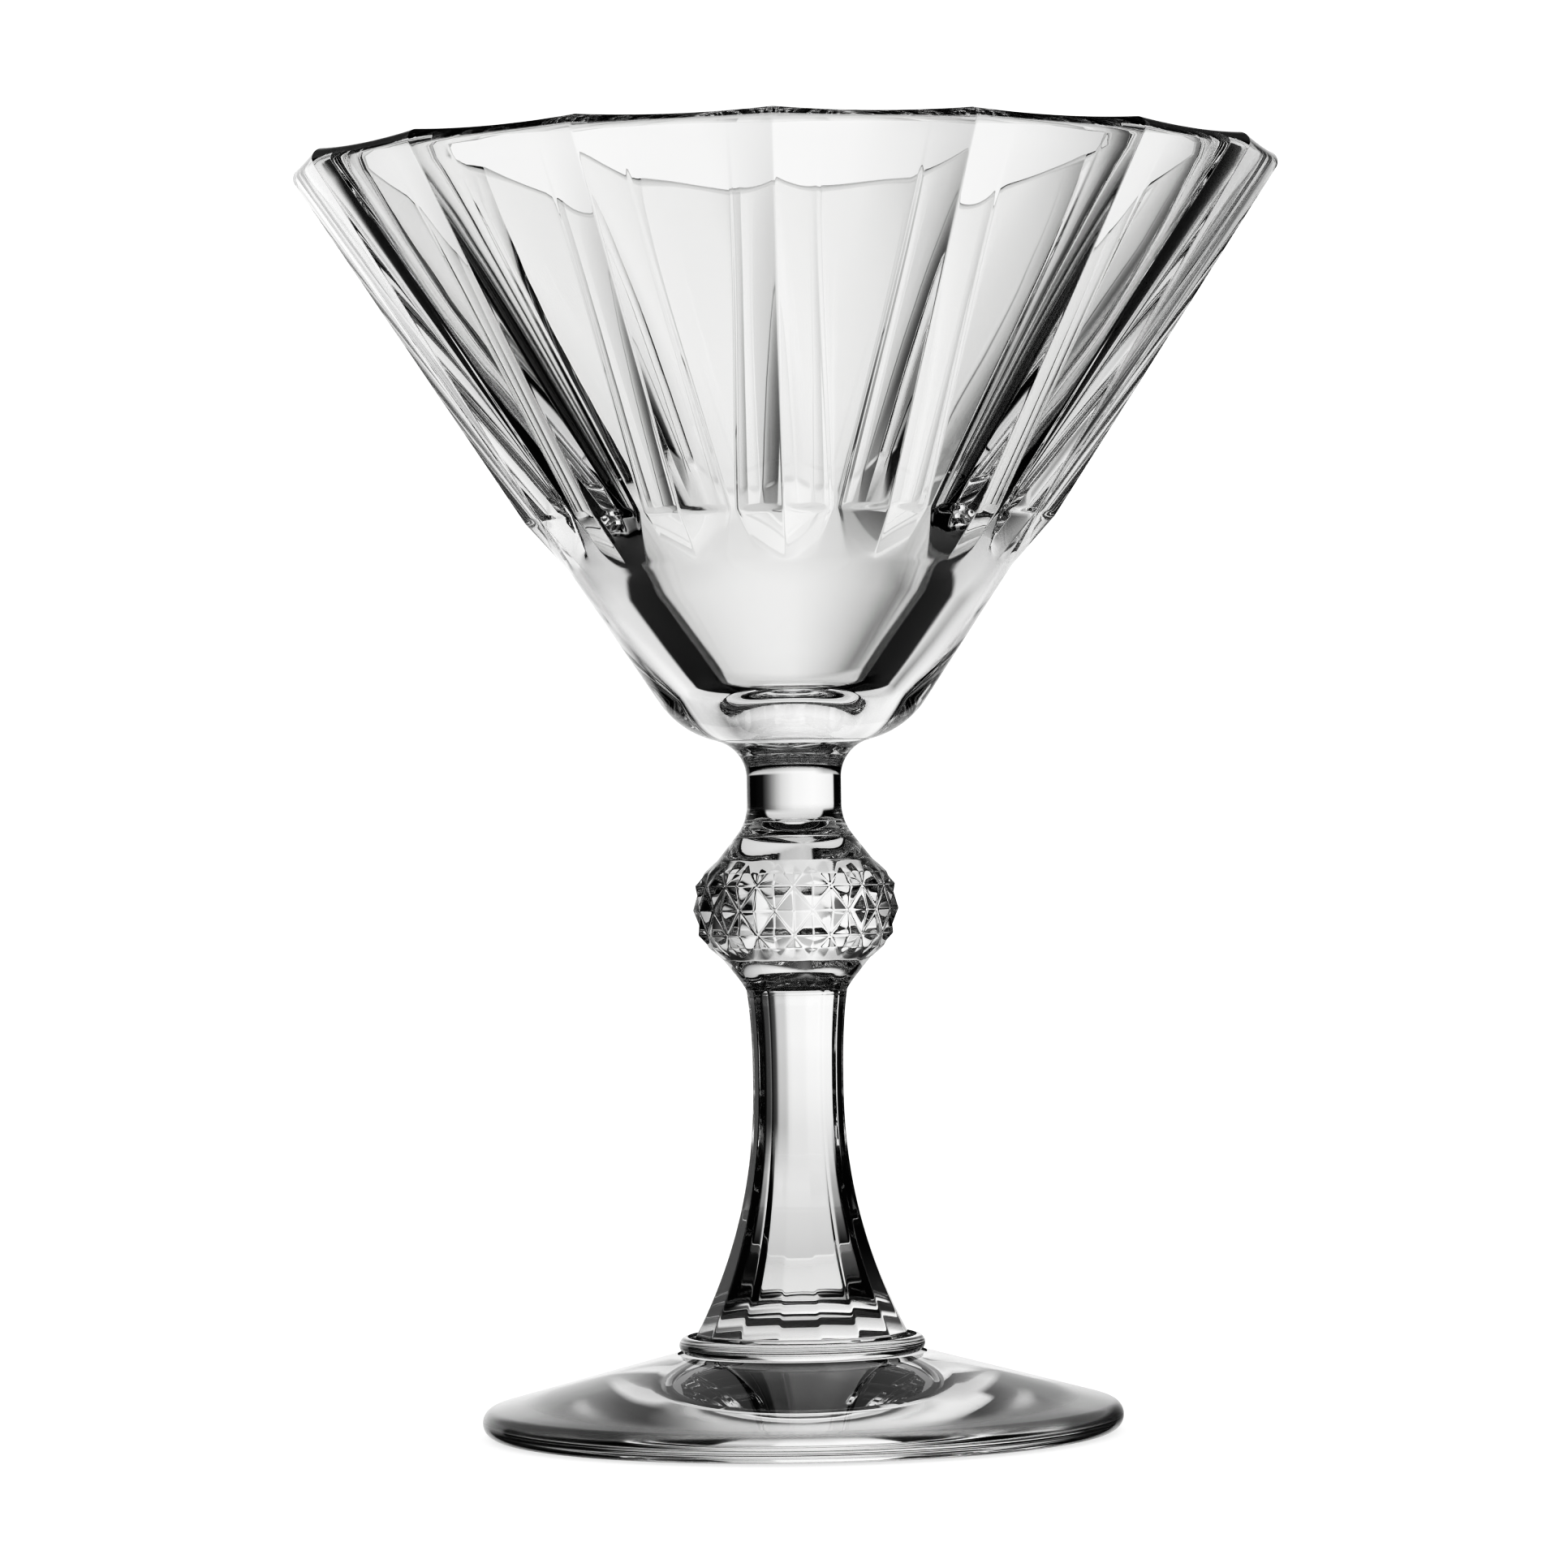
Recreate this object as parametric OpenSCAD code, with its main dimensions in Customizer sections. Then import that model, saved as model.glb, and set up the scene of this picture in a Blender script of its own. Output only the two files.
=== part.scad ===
// Pressed martini glass: a ribbed V-shaped bowl on a stem with a diamond-cut knop, and a round foot.
// Millimetres. The foot rests on z = 0, the axis of the glass is Z, and one rib faces -Y.
// The pieces are stacked face to face, as the hot-fused pressings of the real glass are.

/* [Foot] */
// Radius of the foot
foot_r = 37.5; // [34:0.5:42]
// Height of the foot where it meets the collar
foot_h = 9.3; // [8:0.1:12]
// Radius of the rounding along the foot's edge
foot_edge_r = 1.7; // [1.2:0.1:2]
// Radius of the top of the foot
foot_top_r = 14.6; // [14:0.1:16]
// Height of the shallow hollow under the foot
foot_hollow = 1.2; // [0.4:0.1:2.5]
// Width of the flat ring that the foot rests on
rest_w = 3.6; // [2:0.1:5]

/* [Collar] */
// Radius of the collar bead
collar_r = 14.4; // [13.5:0.1:15]
// Height of the collar bead
collar_h = 2; // [1.6:0.1:2.4]

/* [Shaft] */
// Height of the faceted lower stem
shaft_h = 40.4; // [34:0.2:50]
// Height of its waist above its lower end
waist_h = 29.7; // [20:0.1:32]
// Corner radius at its lower end
shaft_base_r = 12.65; // [10:0.05:13]
// Corner radius at the waist
waist_r = 5.4; // [4.8:0.1:6]
// Corner radius at its upper end
shaft_top_r = 6; // [5.5:0.1:6.5]

/* [Knop] */
// Height from a row of diamonds to the next
row_h = 2.9; // [2.5:0.1:3.2]
// Radius over the diamonds of the middle row
knop_r = 12.05; // [11:0.05:13]
// Depth of the grooves between the diamonds
diamond_depth = 0.7; // [0.3:0.05:1]
// Height of the plain shoulder above the diamonds
knop_top_h = 2.8; // [2:0.1:4]
// Height of the plain throat below the diamonds
knop_bottom_h = 3.6; // [3:0.1:5]

/* [Neck] */
// Height of the plain neck, flares included
neck_h = 11.2; // [10.8:0.1:16]
// Radius of the neck at its narrowest
neck_r = 5.55; // [5:0.05:6]
// Radius of the neck's lower end
neck_base_r = 6.9; // [6.4:0.1:7.4]

/* [Bowl] */
// Height of the bowl, from the neck to the rim
bowl_h = 68; // [60:0.5:76]
// Radius of the rim, over the ribs
rim_r = 57.7; // [52:0.1:62]
// Height of the bowl's plain lower cone above the neck
plain_h = 20.1; // [18:0.1:21.8]
// Radius of the plain cone at its upper end
plain_r = 25.9; // [24:0.1:28]
// Height of the pointed lower ends of the ribs
point_h = 5.7; // [4:0.1:8]
// Radius over the ribs just above their pointed ends
rib_r = 31.05; // [29.5:0.05:33]
// Half-angle of a rib at the rim, in degrees
rib_top_a = 4.9; // [3:0.1:7]
// Half-angle of a rib just above its pointed end, in degrees
rib_low_a = 10; // [8:0.1:10.2]
// How far a rib stands proud just above its pointed end
rib_height = 1.8; // [1:0.05:2.2]
// Height of the small step along a rib's edges
rib_step = 0.2; // [0.05:0.05:0.4]
// Thickness of the wall at the rim, measured level over a rib
rim_wall = 3; // [2.8:0.1:3.6]
// Thickness of the wall at the top of the plain cone, measured level
low_wall = 8.1; // [6:0.1:9]
// Height of the inside floor above the neck
floor_h = 6.6; // [5.5:0.1:8]

/* [Hidden] */

$fn = 96;
ribs = 16;
step = 360 / ribs;
half = step / 2;
front = -90;

z_collar = foot_h;
z_shaft = z_collar + collar_h;
z_knop = z_shaft + shaft_h;
z_rows = z_knop + knop_bottom_h;
row_count = 4;
z_neck = z_rows + row_count * row_h + knop_top_h;
z_bowl = z_neck + neck_h;

// ---- Shared functions ----

// A point at radius r, at azimuth a from the rib that faces the front, at height z.
function at(r, a, z) = [r * cos(front + a), r * sin(front + a), z];

// Points on an arc about the centre c, from angle a to angle b, in n steps.
function arc(c, r, a, b, n) = [for (i = [0:n]) c + r * [cos(a + (b - a) * i / n), sin(a + (b - a) * i / n)]];

// A closed solid over rings of equally many points, lowest first, each ring running anticlockwise.
// rises(i, j) says whether the diagonal of the cell above ring i, right of point j, climbs to the right.
module skin(rings, rises) {
    n = len(rings[0]);
    last = len(rings) - 1;
    sides = [
        for (i = [0:last - 1], j = [0:n - 1])
            let (a = i * n + j, b = i * n + (j + 1) % n, c = b + n, d = a + n)
                each rises(i, j) ? [[a, d, c], [a, c, b]] : [[a, d, b], [d, c, b]]
    ];
    ends = [[for (j = [0:n - 1]) j], [for (j = [n - 1:-1:0]) last * n + j]];
    polyhedron([for (ring = rings) each ring], concat(sides, ends), convexity = 8);
}

// ---- Foot and collar ----

foot_edge = [foot_r - foot_edge_r, foot_edge_r];
foot_slope = atan((foot_h - 2 * foot_edge_r) / (foot_r - foot_edge_r - foot_top_r));
rest_in_r = foot_r - foot_edge_r - rest_w;
hollow_steps = 12;

module foot() {
    hollow = [
        for (i = [0:hollow_steps])
            let (r = rest_in_r * i / hollow_steps) [r, foot_hollow * (1 - pow(r / rest_in_r, 2))]
    ];
    color("gainsboro")
        rotate_extrude()
            polygon(concat(
                hollow,
                arc(foot_edge, foot_edge_r, -90, 90 - foot_slope, 10),
                [[foot_top_r, foot_h], [0, foot_h]]
            ));
}

module collar() {
    bead_r = collar_h / 2;
    bead = [collar_r - bead_r, z_collar + bead_r];
    color("lightgray")
        rotate_extrude()
            polygon(concat([[0, z_collar]], arc(bead, bead_r, -90, 90, 12), [[0, z_collar + collar_h]]));
}

// ---- Shaft ----

// How sharply the shaft flares below its waist and above it.
flare_power = 2.2;
top_power = 2.5;
flare_rings = 12;
top_rings = 5;

function shaft_r(h) =
    h < waist_h
        ? waist_r + (shaft_base_r - waist_r) * pow(1 - h / waist_h, flare_power)
        : waist_r + (shaft_top_r - waist_r) * pow((h - waist_h) / (shaft_h - waist_h), top_power);

module shaft() {
    heights = concat(
        [for (i = [0:flare_rings - 1]) waist_h * i / flare_rings],
        [for (i = [0:top_rings]) waist_h + (shaft_h - waist_h) * i / top_rings]
    );
    color("silver")
        skin(
            [for (h = heights) [for (j = [0:ribs - 1]) at(shaft_r(h), half + j * step, z_shaft + h)]],
            function(i, j) true
        );
}

// ---- Knop ----

// Radius over the knop's diamonds, from the lower tips (row 0) to the upper tips (row 4).
knop_profile = [
    [0, knop_r - 3.45], [0.5, knop_r - 1.6], [1, knop_r - 0.45], [2, knop_r],
    [3, knop_r - 0.15], [3.5, knop_r - 1.2], [4, knop_r - 2.95]
];
// How much of the grooves' full depth each row has: they run out at the tips.
groove_share = [[0, 0], [1, 1], [3, 1], [4, 0]];
throat_power = 1.15;
// The knop's throat starts with rounded flats, like the shaft's, and has turned into a round at round_h.
end_flat_share = 0.9;
round_h = 1.9;
throat_heights = [0, 0.9, round_h, 2.8];

function off_whole(x) = abs(x - round(x));

// The diamonds form a net. Column and row count half diamonds, and a diamond's middle lies wherever
// their sum is even. The result is 0 on a middle and 1 on a groove.
function to_groove(column, row) = 2 * max(off_whole((column + row) / 2), off_whole((column - row) / 2));

function diamond_r(column, row) =
    lookup(row, knop_profile) - diamond_depth * lookup(row, groove_share) * to_groove(column, row);

// Radius of a many-sided ring whose corners have radius r, at an angle a from the middle of a flat.
function flat_r(r, a) = r * cos(half) / cos(a);

function throat_r(column, h) =
    let (
        r = shaft_top_r + (knop_profile[0][1] - shaft_top_r) * pow(h / knop_bottom_h, throat_power),
        flat_share = end_flat_share * max(0, 1 - h / round_h)
    )
        r + flat_share * (flat_r(r, column < 1 ? column * half : (2 - column) * half) - r);

module knop() {
    columns = [for (j = [0:4 * ribs - 1]) j / 2];
    throat = [
        for (h = throat_heights)
            [for (c = columns) at(throat_r(c % 2, h), c * half, z_knop + h)]
    ];
    net = [
        for (row = [0:0.5:row_count])
            [for (c = columns) at(diamond_r(c, row), c * half, z_rows + row * row_h)]
    ];
    top = [[for (c = columns) at(neck_base_r, c * half, z_neck)]];
    first = len(throat);
    color("whitesmoke")
        skin(
            concat(throat, net, top),
            // In the net, the diagonals run along the grooves and swap sides at each half diamond.
            function(i, j) i < first || (floor((i - first) / 2) + floor(j / 2)) % 2 == 1
        );
}

// ---- Neck ----

// The bowl's bottom is a dome that meets the plain cone above it and the neck's upper flare below it.
dome_r = 11;
dome_rise = 10.7;
plain_slope = 0.664;
plain_a = atan(plain_slope);
dome = [
    plain_r - plain_slope * (plain_h - dome_rise) - dome_r / cos(plain_a),
    z_bowl + dome_rise
];
dome_end_a = asin(dome_rise / dome_r);
neck_top_r = dome[0] + dome_r * cos(dome_end_a);
top_flare_r = (neck_top_r - neck_r) / (1 - cos(dome_end_a));
low_flare_r = 6;
low_flare_h = sqrt(pow(low_flare_r, 2) - pow(low_flare_r - neck_base_r + neck_r, 2));

module neck() {
    low_flare = [neck_r + low_flare_r, z_neck + low_flare_h];
    top_flare = [neck_r + top_flare_r, z_bowl - top_flare_r * sin(dome_end_a)];
    color("gainsboro")
        rotate_extrude()
            polygon(concat(
                [[0, z_neck]],
                arc(low_flare, low_flare_r, 180 + asin(low_flare_h / low_flare_r), 180, 8),
                arc(top_flare, top_flare_r, 180, 180 - dome_end_a, 10),
                [[0, z_bowl]]
            ));
}

// ---- Bowl ----

z_plain = z_bowl + plain_h;
z_corner = z_plain + point_h;
z_top = z_bowl + bowl_h;
z_floor = z_bowl + floor_h;

// The lip rounds from the outer wall to the inner one. Its middle is at z_lip.
outer_a = atan((rim_r - rib_r) / (z_top - z_corner));
lip_reach = rim_wall / 2 * cos(outer_a);
z_lip = z_top - lip_reach;
lip_ridge_r = rim_r - lip_reach + rim_wall / 2;
lip_inner_r = lip_ridge_r - rim_wall;

// The ribs: how far they stand proud at the rim, how hollow their faces are, and how wide their steps.
rib_top_height = 1.1;
face_power = 1.6;
step_w = 0.35;
// Half-angle of a rib's pointed end, and of the foot of its step there, at the plain cone.
point_a = 5.9;
point_step_a = 6.6;

// The cavity: its slope at the rim and along the plain cone, and the radius of its flat floor.
rim_slope = 0.724;
low_slope = 0.755;
floor_r = 5;
low_inner_r = plain_r - low_wall;
mean_slope = (lip_inner_r - low_inner_r) / (z_lip - z_plain);
low_inner_a = atan(low_slope);
inner_corner_r = (low_inner_r - low_slope * (z_plain - z_floor) - floor_r) / tan(45 - low_inner_a / 2);

function mix(a, b, t) = a + (b - a) * t;

// Half-angle of a rib. t runs from 0 at the top of the pointed ends to 1 at the lip.
function edge_a(t) = mix(rib_top_a, rib_low_a, pow(1 - t, 2));

// The angles of a ring's points, from a rib's ridge to the middle of the flute beside it.
function angles(edge, step_end) = [0, edge / 3, edge * 2 / 3, edge, step_end, half];

// Radius over a rib's two hollow faces, the small step at its edge and the flute beside it.
// Towards the rim the faces widen until they meet, so that the rim has sixteen sides.
function ribbed_r(t, a) =
    let (
        ridge = mix(rib_r, lip_ridge_r, t),
        height = mix(rib_height, rib_top_height, t),
        step = mix(rib_step, rib_step / 2, t),
        face = (height - step) * pow(max(0, 1 - a / edge_a(t)), face_power),
        down = max(0, min(1, (a - edge_a(t)) * PI / 180 * ridge / step_w))
    )
        mix(ridge - height + face + step * (1 - down), flat_r(ridge, half - a), pow(t, 3));

// Half a rib and half a flute, as [angle, radius] pairs.
function ribbed(t) =
    let (edge = edge_a(t), step_end = edge + step_w / mix(rib_r, lip_ridge_r, t) * 180 / PI)
        [for (a = angles(edge, step_end)) [a, ribbed_r(t, a)]];

// The same on any round stretch.
function plain(r) = [for (a = angles(point_a, point_step_a)) [a, r]];

// The same at the share t of the pointed ends' height.
function pointed(t) =
    let (lower = plain(plain_r), upper = ribbed(0))
        [for (k = [0:len(lower) - 1]) mix(lower[k], upper[k], t)];

// The whole ring, as [angle, radius] pairs: each rib's half, its flute, and the next rib's other half.
function around(pairs) = [
    for (j = [0:ribs - 1])
        each concat(
            [for (k = [0:len(pairs) - 1]) [j * step + pairs[k][0], pairs[k][1]]],
            [for (k = [len(pairs) - 2:-1:1]) [(j + 1) * step - pairs[k][0], pairs[k][1]]]
        )
];

function ring(pairs, z) = [for (p = around(pairs)) at(p[1], p[0], z)];

// The lip's radius follows the wall, so that the rim dips a little between the ribs.
function lip_ring(turn) = [
    for (p = around(ribbed(1)))
        let (middle = (p[1] + lip_inner_r) / 2, reach = (p[1] - lip_inner_r) / 2 * cos(outer_a))
            at(middle + reach * cos(turn), p[0], z_lip + reach * sin(turn))
];

// Radius of the cavity above the plain cone, where its wall curves a little.
function inside_r(z) =
    let (up = z - z_plain)
        low_inner_r + mean_slope * up + (mean_slope - rim_slope) * up * (1 - up / (z_lip - z_plain));

module bowl() {
    dome_side = arc(dome, dome_r, -dome_end_a, -plain_a, 6);
    rib_rings = 6;
    wall_rings = 4;
    upper_inside = [for (i = [wall_rings - 1:-1:0]) mix(z_plain, z_lip, i / wall_rings)];
    floor_side = arc([floor_r, z_floor + inner_corner_r], inner_corner_r, -low_inner_a, -90, 5);
    color("white")
        skin(
            concat(
                [for (p = dome_side) ring(plain(p[0]), p[1])],
                [for (t = [0, 0.5]) ring(pointed(t), mix(z_plain, z_corner, t))],
                [for (i = [0:rib_rings - 1]) ring(ribbed(i / rib_rings), mix(z_corner, z_lip, i / rib_rings))],
                [for (k = [0:4]) lip_ring(mix(-outer_a, 180 - atan(rim_slope), k / 4))],
                [for (z = upper_inside) ring(plain(inside_r(z)), z)],
                [for (p = floor_side) ring(plain(p[0]), p[1])]
            ),
            function(i, j) j % 10 < 5
        );
}

foot();
collar();
shaft();
knop();
neck();
bowl();
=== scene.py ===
import math

import bmesh
import bpy
import numpy as np
from mathutils import Matrix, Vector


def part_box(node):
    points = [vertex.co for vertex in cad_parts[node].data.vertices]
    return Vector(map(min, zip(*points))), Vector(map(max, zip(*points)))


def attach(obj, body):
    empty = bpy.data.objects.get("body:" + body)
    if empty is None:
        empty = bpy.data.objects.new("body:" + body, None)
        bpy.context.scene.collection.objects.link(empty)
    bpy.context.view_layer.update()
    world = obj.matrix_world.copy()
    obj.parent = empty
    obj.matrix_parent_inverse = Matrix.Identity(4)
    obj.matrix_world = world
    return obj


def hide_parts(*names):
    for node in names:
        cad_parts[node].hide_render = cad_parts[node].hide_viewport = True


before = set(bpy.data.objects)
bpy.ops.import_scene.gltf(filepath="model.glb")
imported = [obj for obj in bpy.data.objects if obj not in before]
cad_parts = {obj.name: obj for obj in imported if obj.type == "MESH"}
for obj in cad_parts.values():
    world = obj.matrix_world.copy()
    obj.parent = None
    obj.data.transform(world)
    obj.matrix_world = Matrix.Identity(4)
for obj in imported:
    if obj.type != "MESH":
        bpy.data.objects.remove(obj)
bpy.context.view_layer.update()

# A pressed martini glass. Its lengths are in millimetres until a mesh is made, and angles are in radians
# unless a name ends in _DEG. Azimuth 0 is the rib that faces -Y. The studio, at the end, is in metres.
MM = 0.001
RIBS = 16
STEP = 2 * math.pi / RIBS
HALF = STEP / 2


def low_z(node):
    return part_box(node)[0].z / MM


def high_z(node):
    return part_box(node)[1].z / MM


def reach_of(node):
    """How far a node reaches from the glass's axis."""
    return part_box(node)[1].x / MM


# ---------------------------------------------------------------- camera

CAMERA_AWAY = 730.0
CAMERA_HEIGHT = 73.6
CAMERA_TURN_DEG = 1.2
CAMERA_AIM_UP_DEG = 0.17
CAMERA_AIM_LEFT_DEG = 0.09
CAMERA_ROLL_DEG = -0.87
CAMERA_LENS = 143.2


def add_camera():
    data = bpy.data.cameras.new("camera")
    data.lens = CAMERA_LENS
    data.sensor_width = 36
    data.clip_start = 0.01
    data.clip_end = 100
    camera = bpy.data.objects.new("camera", data)
    bpy.context.scene.collection.objects.link(camera)
    turn = math.radians(CAMERA_TURN_DEG)
    camera.location = (
        CAMERA_AWAY * math.sin(turn) * MM,
        -CAMERA_AWAY * math.cos(turn) * MM,
        CAMERA_HEIGHT * MM,
    )
    aim = (
        Matrix.Rotation(turn + math.radians(CAMERA_AIM_LEFT_DEG), 4, "Z")
        @ Matrix.Rotation(math.radians(90 + CAMERA_AIM_UP_DEG), 4, "X")
        @ Matrix.Rotation(math.radians(CAMERA_ROLL_DEG), 4, "Z")
    )
    camera.rotation_euler = aim.to_euler()
    bpy.context.scene.camera = camera
    return camera


# ---------------------------------------------------------------- meshes

# Offsets and weights for averaging a surface over a small patch, which rounds its creases.
PATCH = [(k / 3, 1 + math.cos(math.pi * k / 4)) for k in range(-3, 4)]
PATCH_WEIGHT = sum(weight for _, weight in PATCH)


def soften(radius, z, azimuth, reach):
    """radius(z, azimuth) averaged over a patch that reaches that far each way."""
    middle = radius(z, azimuth)
    total = np.zeros_like(middle)
    for up, up_weight in PATCH:
        for along, along_weight in PATCH:
            weight = up_weight * along_weight / PATCH_WEIGHT**2
            total += weight * radius(z + up * reach, azimuth + along * reach / middle)
    return total


def ring_points(radius, azimuth, z):
    radius, azimuth, z = np.broadcast_arrays(radius, azimuth, z)
    return np.stack([radius * np.sin(azimuth), -radius * np.cos(azimuth), z], axis=-1)


def arc(centre, radius, start, end, count):
    """Points on an arc in the (r, z) plane. Angles are in radians from the r axis."""
    angles = np.linspace(start, end, count)
    return [(centre[0] + radius * math.cos(t), centre[1] + radius * math.sin(t)) for t in angles]


def fold(azimuth, middle=0.0):
    """The angle, from 0 to HALF, to the nearest rib or other feature that repeats with the ribs."""
    return np.abs((azimuth - middle + HALF) % STEP - HALF)


def tube(name, node, rings, joints):
    """A closed mesh over rings of points, lowest first. joints says which of its two ends are fused."""
    rings = np.asarray(rings)
    count, around = rings.shape[:2]
    start = np.arange(count - 1)[:, None] * around + np.arange(around)[None, :]
    nxt = np.arange(count - 1)[:, None] * around + (np.arange(around)[None, :] + 1) % around
    sides = np.stack([start, nxt, nxt + around, start + around], axis=-1).reshape(-1, 4)
    bottom = list(range(around))[::-1]
    top = [(count - 1) * around + j for j in range(around)]
    mesh = bpy.data.meshes.new(name)
    mesh.from_pydata((rings.reshape(-1, 3) * MM).tolist(), [], sides.tolist() + [bottom, top])
    mesh.polygons.foreach_set("use_smooth", [True] * len(sides) + [not j for j in joints])
    mesh.polygons.foreach_set("material_index", [0] * len(sides) + [int(j) for j in joints])
    mesh.validate()
    mesh.update()
    piece = bpy.data.objects.new(name, mesh)
    bpy.context.scene.collection.objects.link(piece)
    piece.data.materials.append(GLASS)
    piece.data.materials.append(JOINT)
    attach(piece, "root")
    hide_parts(node)
    return piece


# ---------------------------------------------------------------- glass

GLASS_IOR = 1.52
RIPPLE_SIZE = 9.0
RIPPLE_DEPTH = 0.02
SCUFF_HEIGHT = 0.35
SCUFF_ROUGHNESS = 0.35
GLASS_TINT = (0.988, 0.988, 0.985, 1)


def make_glass():
    """Clear pressed glass: a faint ripple left by the mould, and fine scuffs where the foot rests."""
    material = bpy.data.materials.new("clear_pressed_glass")
    material.use_nodes = True
    nodes, links = material.node_tree.nodes, material.node_tree.links
    nodes.clear()
    output = nodes.new("ShaderNodeOutputMaterial")
    shader = nodes.new("ShaderNodeBsdfPrincipled")
    links.new(shader.outputs["BSDF"], output.inputs["Surface"])
    shader.inputs["Transmission Weight"].default_value = 1.0
    shader.inputs["IOR"].default_value = GLASS_IOR
    shader.inputs["Base Color"].default_value = GLASS_TINT

    place = nodes.new("ShaderNodeTexCoord")
    ripple = nodes.new("ShaderNodeTexNoise")
    ripple.inputs["Scale"].default_value = 1 / (RIPPLE_SIZE * MM)
    ripple.inputs["Detail"].default_value = 1.0
    links.new(place.outputs["Object"], ripple.inputs["Vector"])
    bump = nodes.new("ShaderNodeBump")
    bump.inputs["Strength"].default_value = 1.0
    bump.inputs["Distance"].default_value = RIPPLE_DEPTH * MM
    links.new(ripple.outputs["Fac"], bump.inputs["Height"])
    links.new(bump.outputs["Normal"], shader.inputs["Normal"])

    split = nodes.new("ShaderNodeSeparateXYZ")
    links.new(place.outputs["Object"], split.inputs["Vector"])
    low = nodes.new("ShaderNodeMapRange")
    low.inputs["From Min"].default_value = 0.0
    low.inputs["From Max"].default_value = SCUFF_HEIGHT * MM
    low.inputs["To Min"].default_value = SCUFF_ROUGHNESS
    low.inputs["To Max"].default_value = 0.0
    links.new(split.outputs["Z"], low.inputs["Value"])
    links.new(low.outputs["Result"], shader.inputs["Roughness"])
    return material


def make_joint():
    """The face where two pressings were fused: nothing shows there, so light passes straight on."""
    material = bpy.data.materials.new("fused_joint")
    material.use_nodes = True
    nodes, links = material.node_tree.nodes, material.node_tree.links
    nodes.clear()
    output = nodes.new("ShaderNodeOutputMaterial")
    shader = nodes.new("ShaderNodeBsdfTransparent")
    links.new(shader.outputs["BSDF"], output.inputs["Surface"])
    return material


GLASS = make_glass()
JOINT = make_joint()

# ---------------------------------------------------------------- foot and collar

FOOT_EDGE = 1.7
FOOT_TOP_R = 14.6
FOOT_HOLLOW = 1.2
REST_WIDTH = 3.6
CENTRE_R = 0.02
ROUND_COLUMNS = 256


def revolve(name, node, outline, joints):
    azimuth = np.arange(ROUND_COLUMNS) * 2 * math.pi / ROUND_COLUMNS
    outline = np.asarray(outline)
    return tube(name, node, ring_points(outline[:, :1], azimuth[None, :], outline[:, 1:]), joints)


def line(start, end, count):
    """Points from start to end, both left out."""
    return [tuple(np.asarray(start) + (np.asarray(end) - np.asarray(start)) * k / (count + 1))
            for k in range(1, count + 1)]


def make_foot():
    radius, height = reach_of("foot"), high_z("foot")
    edge = (radius - FOOT_EDGE, FOOT_EDGE)
    slope = math.atan2(height - 2 * FOOT_EDGE, edge[0] - FOOT_TOP_R)
    rest_in = edge[0] - REST_WIDTH
    hollow = [(r, FOOT_HOLLOW * (1 - (r / rest_in) ** 2)) for r in np.linspace(CENTRE_R, rest_in, 24)]
    rest = line((rest_in, 0), (edge[0], 0), 3)
    rim = arc(edge, FOOT_EDGE, -math.pi / 2, math.pi / 2 - slope, 18)
    cone = line(rim[-1], (FOOT_TOP_R, height), 16)
    revolve("foot", "foot", hollow + rest + rim + cone + [(FOOT_TOP_R, height)], (False, True))


def make_collar():
    low, high, radius = low_z("collar"), high_z("collar"), reach_of("collar")
    bead = (high - low) / 2
    outline = arc((radius - bead, low + bead), bead, -math.pi / 2, math.pi / 2, 24)
    revolve("collar", "collar", outline, (True, True))


# ---------------------------------------------------------------- shaft

WAIST_H = 29.7
WAIST_R = 5.4
SHAFT_TOP_R = 6.0
FLARE_POWER = 2.2
TOP_POWER = 2.5
EDGE_ROUNDING = 0.3


def flat(radius, angle):
    """Radius of a 16-sided ring with that corner radius, at an angle from the middle of a flat."""
    return radius * math.cos(HALF) / np.cos(angle)


def make_shaft():
    low, high = low_z("shaft"), high_z("shaft")
    base = reach_of("shaft") / math.cos(HALF)

    def corner(h):
        below = np.clip(1 - h / WAIST_H, 0, None) ** FLARE_POWER
        above = np.clip((h - WAIST_H) / (high - low - WAIST_H), 0, None) ** TOP_POWER
        return WAIST_R + (base - WAIST_R) * below + (SHAFT_TOP_R - WAIST_R) * above

    def radius(z, azimuth):
        return flat(corner(z - low), fold(azimuth))

    share = np.array([0, 0.15, 0.35, 0.55, 0.72, 0.84, 0.92, 0.97])
    half = np.concatenate([share, [1], 2 - share[:0:-1]]) * HALF
    azimuth = (np.arange(RIBS)[:, None] * STEP + half[None, :]).reshape(-1)
    z = np.linspace(low, high, 90)[:, None]
    radii = soften(radius, z, np.broadcast_to(azimuth, (len(z), len(azimuth))), EDGE_ROUNDING)
    tube("shaft", "shaft", ring_points(radii, azimuth, z), (True, True))


# ---------------------------------------------------------------- knop

ROW_H = 2.9
THROAT_H = 3.6
DIAMOND_DEPTH = 0.7
THROAT_POWER = 1.15
ROUND_H = 1.9
NECK_BASE_R = 6.9
KNOP_ROWS = [0, 0.5, 1, 2, 3, 3.5, 4]
KNOP_DROPS = [3.45, 1.6, 0.45, 0, 0.15, 1.2, 2.95]
DIAMOND_ROUNDING = 0.12


def off_whole(x):
    return np.abs(x - np.round(x))


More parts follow.
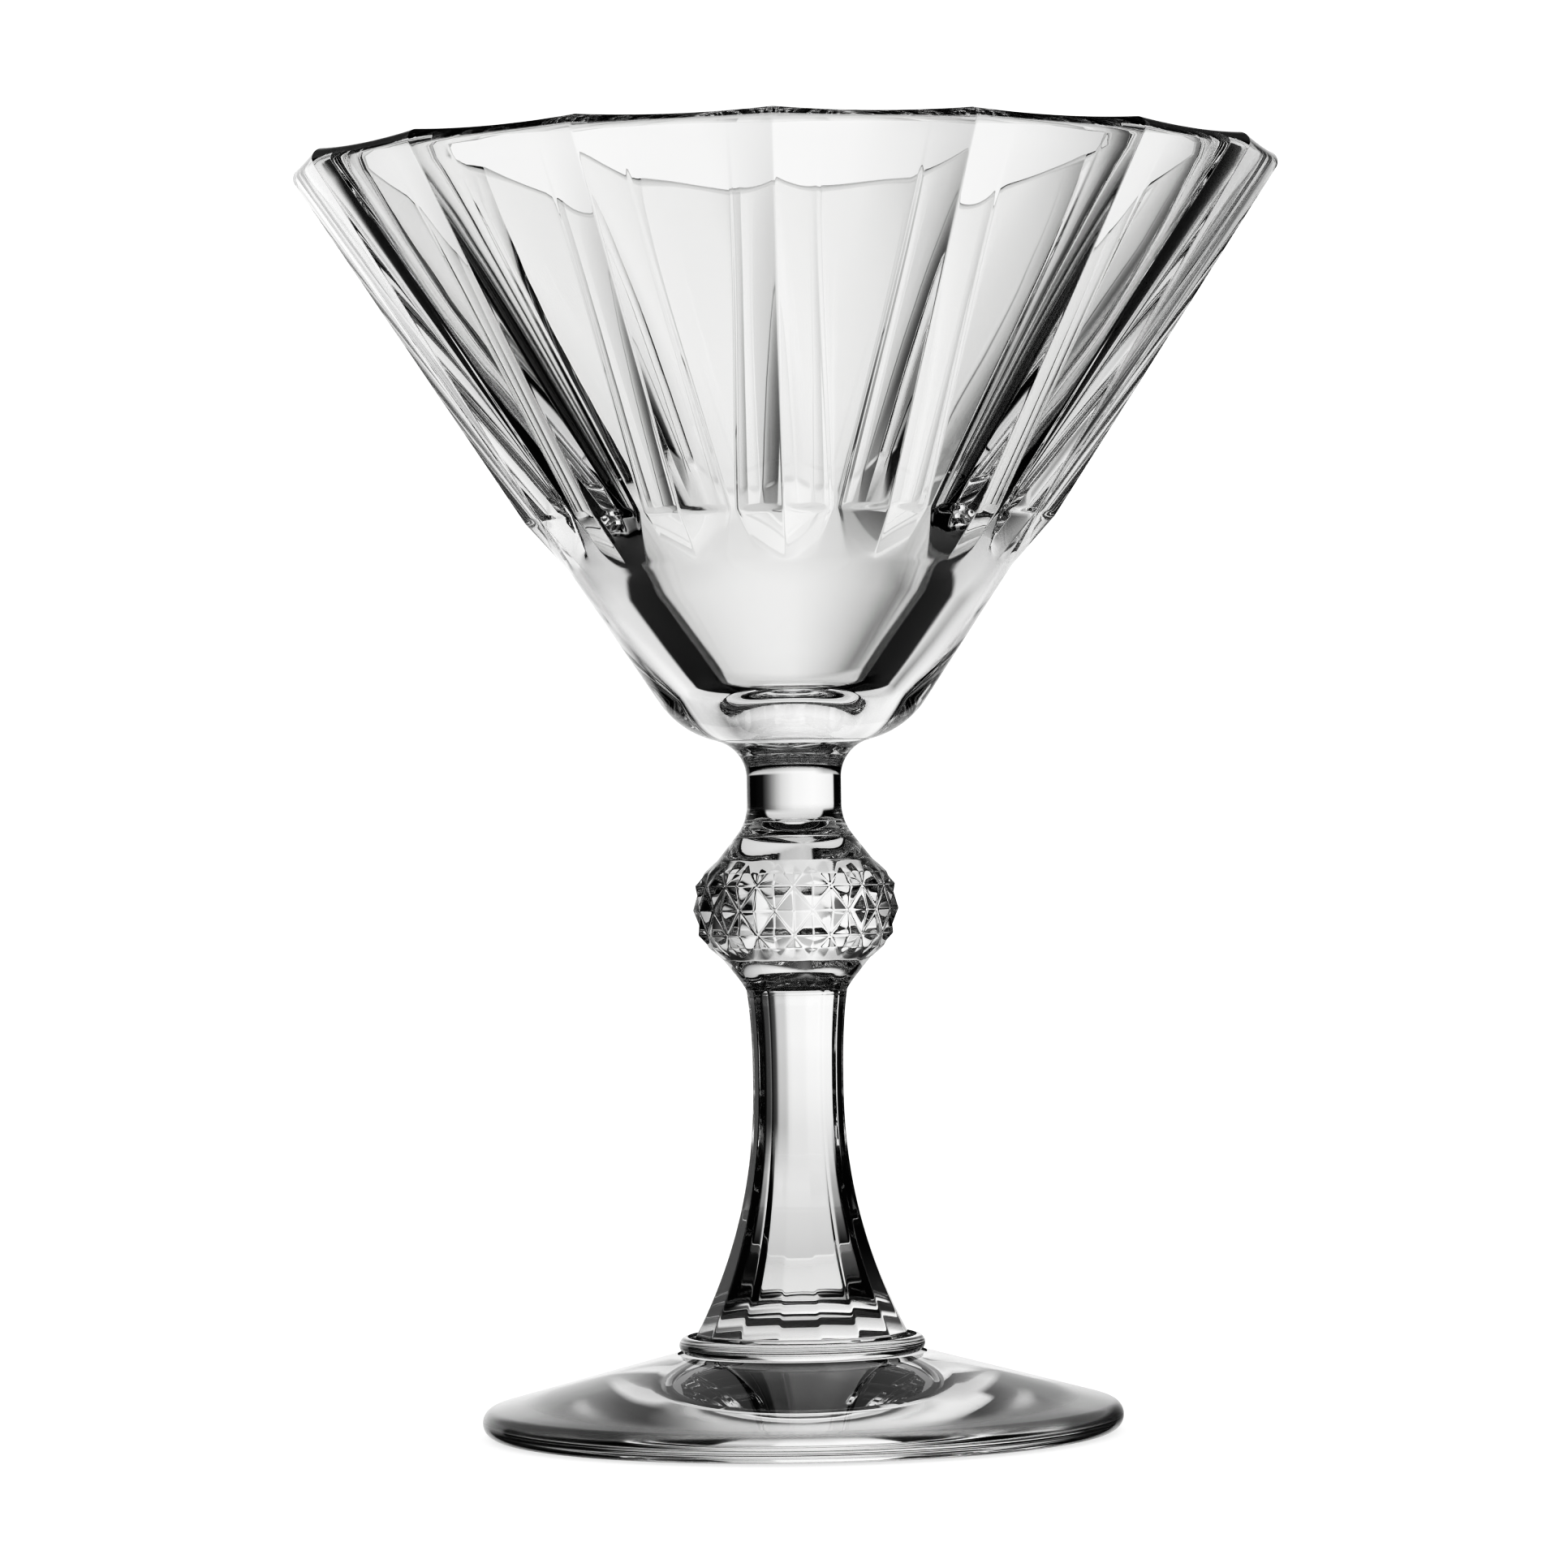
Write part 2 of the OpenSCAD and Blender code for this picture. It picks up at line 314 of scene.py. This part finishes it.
def make_knop():
    low, high = low_z("knop"), high_z("knop")
    widest = reach_of("knop")
    rows_z = low + THROAT_H

    def radius(z, azimuth):
        column = azimuth / HALF
        row = (z - rows_z) / ROW_H
        body = widest - np.interp(row, KNOP_ROWS, KNOP_DROPS)
        share = np.interp(row, [0, 1, 3, 4], [0, 1, 1, 0])
        to_groove = 2 * np.maximum(off_whole((column + row) / 2), off_whole((column - row) / 2))
        net = body - DIAMOND_DEPTH * share * to_groove
        h = np.clip((z - low) / THROAT_H, 0, 1)
        throat = SHAFT_TOP_R + (widest - KNOP_DROPS[0] - SHAFT_TOP_R) * h**THROAT_POWER
        flats = np.clip(1 - (z - low) / ROUND_H, 0, 1)
        throat = throat + flats * (flat(throat, fold(azimuth)) - throat)
        tip = rows_z + 4 * ROW_H
        shoulder = np.interp(z, [tip, high], [widest - KNOP_DROPS[-1], NECK_BASE_R])
        return np.where(row < 0, throat, np.where(z > tip, shoulder, net))

    columns = 24
    azimuth = np.arange(RIBS * columns) * STEP / columns
    z = np.linspace(low, high, 156)[:, None]
    radii = soften(radius, z, np.broadcast_to(azimuth, (len(z), len(azimuth))), DIAMOND_ROUNDING)
    tube("knop", "knop", ring_points(radii, azimuth, z), (True, True))


# ---------------------------------------------------------------- neck

NECK_R = 5.55
LOW_FLARE = 6.0
DOME_R = 11.0
DOME_RISE = 10.7
PLAIN_SLOPE = 0.664
PLAIN_H = 20.1
PLAIN_R = 25.9
PLAIN_A = math.atan(PLAIN_SLOPE)
DOME_X = PLAIN_R - PLAIN_SLOPE * (PLAIN_H - DOME_RISE) - DOME_R / math.cos(PLAIN_A)
DOME_END = math.asin(DOME_RISE / DOME_R)
NECK_TOP_R = DOME_X + DOME_R * math.cos(DOME_END)


def make_neck():
    low, high = low_z("neck"), high_z("neck")
    rise = math.sqrt(LOW_FLARE**2 - (LOW_FLARE - NECK_BASE_R + NECK_R) ** 2)
    flare = (NECK_TOP_R - NECK_R) / (1 - math.cos(DOME_END))
    lower_end = math.pi + math.asin(rise / LOW_FLARE)
    lower = arc((NECK_R + LOW_FLARE, low + rise), LOW_FLARE, lower_end, math.pi, 20)
    upper = arc((NECK_R + flare, high - flare * math.sin(DOME_END)), flare, math.pi, math.pi - DOME_END, 28)
    revolve("neck", "neck", lower + line(lower[-1], upper[0], 2) + upper, (True, True))


# ---------------------------------------------------------------- bowl

POINT_H = 5.7
RIB_R = 31.05
RIM_WALL = 3.0
LOW_WALL = 8.1
RIM_SLOPE = 0.724
LOW_SLOPE = 0.755
FLOOR_H = 6.6
FLOOR_R = 5.0
RIB_TOP_A = math.radians(4.9)
RIB_LOW_A = math.radians(10)
POINT_A = math.radians(5.9)
FLANK_A = math.radians(7.1)
STEP_TOP = 0.1
STEP_LOW = 0.2
STEP_WIDTH = 0.35
FACE_POWER = 1.6
RIB_TOP_HEIGHT = 1.1
RIB_LOW_HEIGHT = 1.8
RIB_ROUNDING = 0.16
# The middle of the lip lies this far below the bowl's top, and the ridges end this far past its reach.
LIP_BELOW_TOP = 1.245
RIDGE_PAST_REACH = 0.255
# Where the columns of a rib and its flute lie, as shares of its face, of its step and of half the flute.
FACE_COLUMNS = np.array([0, 0.02, 0.05, 0.1, 0.18, 0.3, 0.45, 0.6, 0.75, 0.87, 0.95])
STEP_COLUMNS = np.array([-0.3, 0, 0.3, 0.7, 1, 1.3])
FLUTE_COLUMNS = np.array([0.12, 0.3, 0.5, 0.7, 0.86, 1])
FLUTE_START = 1.5


def mix(a, b, t):
    return a + (b - a) * t


def make_bowl():
    low, high = low_z("bowl"), high_z("bowl")
    plain_z = low + PLAIN_H
    corner_z = plain_z + POINT_H
    rim_r = reach_of("bowl") + RIDGE_PAST_REACH
    lip_z = high - LIP_BELOW_TOP
    inner_rim = rim_r - RIM_WALL
    outer_a = math.atan((rim_r - RIB_R) / (lip_z - corner_z))
    low_inner = PLAIN_R - LOW_WALL
    mean_slope = (inner_rim - low_inner) / (lip_z - plain_z)
    upper_a = math.atan(RIM_SLOPE)
    lower_a = math.atan(LOW_SLOPE)
    floor_z = low + FLOOR_H

    def edge_a(t):
        return mix(RIB_LOW_A, RIB_TOP_A, 1 - (1 - t) ** 2)

    def ribbed(t, a):
        """Radius over a rib's two hollow faces, the small step at its edge and the flute beside it.
        Towards the rim the faces widen until they meet, so that the rim has sixteen sides."""
        ridge = mix(RIB_R, rim_r, t)
        height = mix(RIB_LOW_HEIGHT, RIB_TOP_HEIGHT, t)
        step = mix(STEP_LOW, STEP_TOP, t)
        edge = edge_a(t)
        face = (height - step) * np.clip(1 - a / edge, 0, 1) ** FACE_POWER
        down = np.clip((a - edge) * ridge / STEP_WIDTH, 0, 1)
        return mix(ridge - height + face + step * (1 - down), flat(ridge, HALF - a), np.clip(t, 0, 1) ** 3)

    def pointed(t, a):
        low_flank = RIB_LOW_A + STEP_WIDTH / RIB_R
        upper = ribbed(0.0, np.array([0, RIB_LOW_A, low_flank, HALF]))
        edge = mix(POINT_A, RIB_LOW_A, t)
        flank = mix(FLANK_A, low_flank, t)
        ridge, shoulder, heel, middle = [mix(PLAIN_R, u, t) for u in upper]
        on_rib = mix(ridge, shoulder, np.clip(a / edge, 0, 1))
        on_flank = mix(shoulder, heel, np.clip((a - edge) / (flank - edge), 0, 1))
        off_rib = mix(heel, middle, np.clip((a - flank) / (HALF - flank), 0, 1))
        return np.where(a < edge, on_rib, np.where(a < flank, on_flank, off_rib))

    def outer(z, azimuth):
        a = fold(azimuth)
        t = np.clip((z - corner_z) / (lip_z - corner_z), 0, None)
        s = np.clip((z - plain_z) / POINT_H, 0, 1)
        cone = PLAIN_R - PLAIN_SLOPE * (plain_z - z)
        return np.where(z >= corner_z, ribbed(t, a), np.where(z >= plain_z, pointed(s, a), cone))

    def columns(z):
        """The columns follow the edges of the ribs, and crowd where the surface is creased."""
        t = np.clip((z - corner_z) / (lip_z - corner_z), 0, 1)
        s = np.clip((z - plain_z) / POINT_H, 0, 1)
        edge = np.where(z > corner_z, edge_a(t), mix(POINT_A, RIB_LOW_A, s))
        step = STEP_WIDTH / mix(RIB_R, rim_r, t)
        flute = edge + FLUTE_START * step
        off_rib = flute + (HALF - flute) * FLUTE_COLUMNS
        half = np.concatenate([edge * FACE_COLUMNS, edge + step * STEP_COLUMNS, off_rib], axis=1)
        sector = np.concatenate([half, STEP - half[:, -2:0:-1]], axis=1)
        starts = np.arange(RIBS) * STEP
        return (starts[None, :, None] + sector[:, None, :]).reshape(len(z), -1)

    dome = arc((DOME_X, low + DOME_RISE), DOME_R, -DOME_END, -PLAIN_A, 22)
    z = np.concatenate([
        np.linspace(dome[-1][1], plain_z - 1, 10)[1:],
        np.linspace(plain_z - 0.7, corner_z + 0.9, 24),
        np.linspace(corner_z + 1.3, lip_z - 0.9, 52),
    ])[:, None]
    wall_a = columns(z)
    wall = ring_points(soften(outer, np.broadcast_to(z, wall_a.shape), wall_a, RIB_ROUNDING), wall_a, z)
    dome_a = columns(np.full((1, 1), plain_z))
    dome_rings = [ring_points(r, dome_a[0], zz) for r, zz in dome]

    rim_a = columns(np.full((1, 1), lip_z))
    rim = soften(outer, np.full(rim_a.shape, lip_z), rim_a, RIB_ROUNDING)[0]
    middle, reach = (rim + inner_rim) / 2, (rim - inner_rim) / 2 * math.cos(outer_a)
    lip = [
        ring_points(middle + reach * math.cos(turn), rim_a[0], lip_z + reach * math.sin(turn))
        for turn in np.linspace(-outer_a, math.pi - upper_a, 16)
    ]

    def inside_r(z):
        """The cavity's wall curves a little above the plain cone, and is straight below."""
        up = z - plain_z
        if up < 0:
            return low_inner + LOW_SLOPE * up
        return low_inner + mean_slope * up + (mean_slope - RIM_SLOPE) * up * (1 - up / (lip_z - plain_z))

    corner_r = (inside_r(floor_z) - FLOOR_R) / math.tan(math.pi / 4 - lower_a / 2)
    bottom = arc((FLOOR_R, floor_z + corner_r), corner_r, -lower_a, -math.pi / 2, 22)
    inside = [(inside_r(z), z) for z in np.linspace(lip_z - 1.4, bottom[0][1], 46)[:-1]]
    ending = [(r, floor_z) for r in (3.0, 2.0, 1.0, CENTRE_R)]
    inner_rings = [ring_points(r, rim_a[0], zz) for r, zz in inside + bottom + ending]
    tube("bowl", "bowl", dome_rings + list(wall) + lip + inner_rings, (True, False))


# ---------------------------------------------------------------- studio

WORLD_BRIGHT = 1.15
FLOOR_RADIUS = 6.0
FLOOR_Z = -0.0002
# The floor is a light table: most of its light comes from below, so the shadows on it are faint. The
# glass doesn't see the floor, and sees the tent's table instead.
FLOOR_PALE = 0.4
FLOOR_LIT_FROM_BELOW = 0.74
# The glass stands in a light tent that only the glass sees: a bright wall and table behind it, a wider
# and dimmer wall higher up, a bright patch straight below it, and black elsewhere, which draws its edges
# dark. Each ramp pairs an angle in degrees with a brightness or a share. Turns are counted from straight
# behind the glass, positive to the right, where the wall fades out sooner. The tent is invented, not a
# studio that was found out. Its values were set with the photograph's brightness in each direction as a
# guide, and then changed one by one. The patch below is there for views from above.
TENT_RADIUS = 1.1
TENT_CENTRE_Z = 0.09
BLACK = 0.005
WALL_BY_TURN = (
    (-180, BLACK), (-48, BLACK), (-44, 0.9), (-16, 1.0), (0, 0.92), (10, 0.7), (17, 0.42), (24, 0.2),
    (31, 0.02), (45, BLACK), (180, BLACK),
)
TABLE_BY_TURN = ((-180, BLACK), (-29, BLACK), (-26, 1.0), (0, 1.0), (26, 0.95), (29, BLACK), (180, BLACK))
UNDER_BY_TURN = ((-180, 0.9), (180, 0.9))
HIGH_WALL_BY_TURN = (
    (-180, BLACK), (-80, BLACK), (-62, 0.65), (-30, 0.65), (-18, 1.0), (0, 0.95), (20, 0.7), (58, 0.65),
    (75, BLACK), (180, BLACK),
)
HIGH_WALL_SHARE_BY_RISE = ((-90, 0.0), (6, 0.0), (12, 1.0), (90, 1.0))
TABLE_SHARE_BY_RISE = ((-90, 1.0), (-18, 1.0), (-10, 0.0), (90, 0.0))
UNDER_SHARE_BY_RISE = ((-90, 1.0), (-78, 1.0), (-62, 0.0), (90, 0.0))
DIMMED_BY_RISE = (
    (-90, 1.0), (-56, 0.95), (-50, 0.78), (-45, 0.6), (-30, 0.68), (-20, 0.78), (-10, 0.9), (-2, 1.08),
    (12, 1.08), (20, 0.85), (30, 0.6), (38, 0.25), (46, 0.08), (60, BLACK), (90, BLACK),
)


def add_world():
    world = bpy.data.worlds.new("studio")
    bpy.context.scene.world = world
    world.use_nodes = True
    background = world.node_tree.nodes["Background"]
    background.inputs["Color"].default_value = (1, 1, 1, 1)
    background.inputs["Strength"].default_value = WORLD_BRIGHT


def add_stage_mesh(name, shape, material):
    mesh = bpy.data.meshes.new(name)
    shape.to_mesh(mesh)
    shape.free()
    item = bpy.data.objects.new(name, mesh)
    bpy.context.scene.collection.objects.link(item)
    item.data.materials.append(material)
    return item


def disc(radius):
    shape = bmesh.new()
    bmesh.ops.create_circle(shape, cap_ends=True, segments=128, radius=radius)
    return shape


def ball(radius):
    shape = bmesh.new()
    bmesh.ops.create_uvsphere(shape, u_segments=96, v_segments=48, radius=radius)
    return shape


def add_floor():
    material = bpy.data.materials.new("floor_paper")
    material.use_nodes = True
    shader = material.node_tree.nodes["Principled BSDF"]
    shader.inputs["Base Color"].default_value = (FLOOR_PALE, FLOOR_PALE, FLOOR_PALE, 1)
    shader.inputs["Emission Color"].default_value = (1, 1, 1, 1)
    shader.inputs["Emission Strength"].default_value = FLOOR_LIT_FROM_BELOW
    shader.inputs["Roughness"].default_value = 0.9
    shader.inputs["Specular IOR Level"].default_value = 0.1
    floor = add_stage_mesh("floor", disc(FLOOR_RADIUS), material)
    floor.location.z = FLOOR_Z
    floor.visible_glossy = False
    floor.visible_transmission = False


def tent_light():
    material = bpy.data.materials.new("tent_light")
    material.use_nodes = True
    nodes, links = material.node_tree.nodes, material.node_tree.links
    nodes.clear()

    def math_node(operation, *values):
        node = nodes.new("ShaderNodeMath")
        node.operation = operation
        for value, socket in zip(values, node.inputs):
            links.new(value, socket)
        return node.outputs["Value"]

    def ramp(angle, stops):
        low, high = math.radians(stops[0][0]), math.radians(stops[-1][0])
        spread = nodes.new("ShaderNodeMapRange")
        spread.inputs["From Min"].default_value = low
        spread.inputs["From Max"].default_value = high
        links.new(angle, spread.inputs["Value"])
        node = nodes.new("ShaderNodeValToRGB")
        elements = node.color_ramp.elements
        elements.remove(elements[1])
        for number, (place, bright) in enumerate(stops):
            position = (math.radians(place) - low) / (high - low)
            element = elements.new(position) if number else elements[0]
            element.color = (bright, bright, bright, 1)
        links.new(spread.outputs["Result"], node.inputs["Fac"])
        return node.outputs["Color"]

    def blend(first, second, share):
        node = nodes.new("ShaderNodeMix")
        links.new(share, node.inputs["Factor"])
        links.new(first, node.inputs["A"])
        links.new(second, node.inputs["B"])
        return node.outputs["Result"]

    place = nodes.new("ShaderNodeTexCoord")
    split = nodes.new("ShaderNodeSeparateXYZ")
    links.new(place.outputs["Object"], split.inputs["Vector"])
    x, y, z = split.outputs
    away = math_node("SQRT", math_node("ADD", math_node("MULTIPLY", x, x), math_node("MULTIPLY", y, y)))
    turn = math_node("ARCTAN2", x, y)
    rise = math_node("ARCTAN2", z, away)
    bright = ramp(turn, WALL_BY_TURN)
    bright = blend(bright, ramp(turn, HIGH_WALL_BY_TURN), ramp(rise, HIGH_WALL_SHARE_BY_RISE))
    bright = blend(bright, ramp(turn, TABLE_BY_TURN), ramp(rise, TABLE_SHARE_BY_RISE))
    bright = blend(bright, ramp(turn, UNDER_BY_TURN), ramp(rise, UNDER_SHARE_BY_RISE))
    shader = nodes.new("ShaderNodeEmission")
    links.new(math_node("MULTIPLY", bright, ramp(rise, DIMMED_BY_RISE)), shader.inputs["Strength"])
    output = nodes.new("ShaderNodeOutputMaterial")
    links.new(shader.outputs["Emission"], output.inputs["Surface"])
    return material


def add_tent(camera):
    """The tent follows the camera round the glass, as if the glass were on a turntable. Every view is
    lit alike for that reason. A tent that stood still would light each side differently."""
    turntable = bpy.data.objects.new("turntable", None)
    turntable.location.z = TENT_CENTRE_Z
    bpy.context.scene.collection.objects.link(turntable)
    track = turntable.constraints.new("LOCKED_TRACK")
    track.target = camera
    track.track_axis = "TRACK_NEGATIVE_Y"
    track.lock_axis = "LOCK_Z"
    tent = add_stage_mesh("tent", ball(TENT_RADIUS), tent_light())
    tent.parent = turntable
    tent.visible_camera = False
    tent.visible_diffuse = False
    tent.visible_shadow = False


# A contrasty print: brightness in the scene against brightness on paper. Highlights barely change. The
# points were set to spread the dark tones as widely as the photograph's are. They also darken
# the bands along the bowl's plain cone, which are grey without them.
# Of Blender's four curves, the last is the one for all colours together.
ALL_COLOURS = 3
CONTRAST = ((0.05, 0.012), (0.12, 0.045), (0.2, 0.1), (0.3, 0.21), (0.5, 0.485), (0.75, 0.765))


def set_look():
    scene = bpy.context.scene
    view = scene.view_settings
    view.view_transform = "Standard"
    view.use_curve_mapping = True
    for bright, printed in CONTRAST:
        view.curve_mapping.curves[ALL_COLOURS].points.new(bright, printed)
    view.curve_mapping.update()
    scene.cycles.max_bounces = 32
    scene.cycles.transmission_bounces = 32
    scene.cycles.glossy_bounces = 16
    scene.cycles.transparent_max_bounces = 32
    scene.cycles.use_denoising = True


camera = add_camera()
make_foot()
make_collar()
make_shaft()
make_knop()
make_neck()
make_bowl()
add_world()
add_floor()
add_tent(camera)
set_look()
